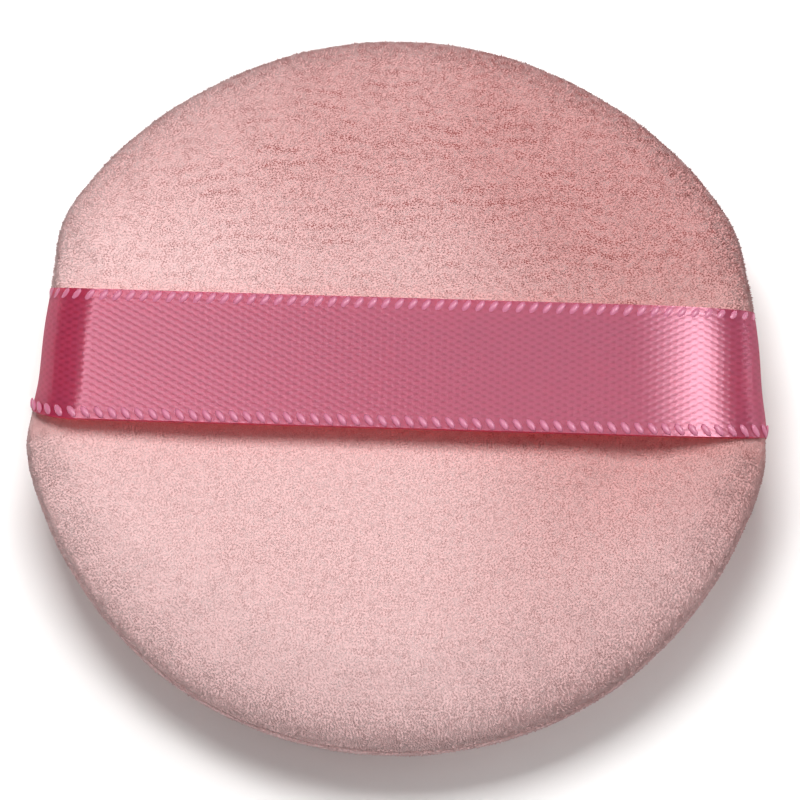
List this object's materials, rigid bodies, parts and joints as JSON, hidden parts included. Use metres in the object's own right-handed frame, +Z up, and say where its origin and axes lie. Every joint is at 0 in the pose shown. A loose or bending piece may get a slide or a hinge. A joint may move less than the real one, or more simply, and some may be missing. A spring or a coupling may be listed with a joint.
{
  "type": "powder puff",
  "caption": "Round pillow-shaped velour powder puff with a foam core and a satin finger ribbon sewn into its edge seam, which lifts to let fingertips under.",
  "frame": {"origin": "middle of the powdering face, on the plane that the puff rests on", "axes": "+X along the finger ribbon, +Y across it, away from the picture's camera, +Z up through the ribbon side"},
  "size_m": [0.0534, 0.054, 0.0122],
  "materials": {
    "velour": "matte cut pile",
    "ribbon_satin": "satin weave",
    "foam": "matte open cells",
    "thread": "spun sewing thread"
  },
  "bodies": {
    "pad": {"back_cover": "velour", "face_cover": "velour", "foam_core": "foam", "ribbon_left_end": "ribbon_satin", "ribbon_right_end": "ribbon_satin", "seam_needle_thread": "thread", "seam_bobbin_thread": "thread", "closing_thread": "thread"},
    "ribbon_centre": {"ribbon_middle": "ribbon_satin"},
    "ribbon_left": {"ribbon_left_run": "ribbon_satin"},
    "ribbon_right": {"ribbon_right_run": "ribbon_satin"}
  },
  "joints": [
    {"name": "ribbon_lift", "type": "slide", "parent": "pad", "child": "ribbon_centre", "axis": [0, 0, 1], "range_m": [0, 0.006]},
    {"name": "ribbon_left_fold", "type": "hinge", "parent": "pad", "child": "ribbon_left", "pos_m": [-0.02013, 0, 0.01198], "axis": [0, -1, 0], "range_deg": [0, 24]},
    {"name": "ribbon_right_fold", "type": "hinge", "parent": "pad", "child": "ribbon_right", "pos_m": [0.02013, 0, 0.01198], "axis": [0, 1, 0], "range_deg": [0, 24]}
  ],
  "couplings": [
    {"joint": "ribbon_left_fold", "follows": "ribbon_lift", "rad_per_m": 69.42},
    {"joint": "ribbon_right_fold", "follows": "ribbon_lift", "rad_per_m": 69.42}
  ]
}
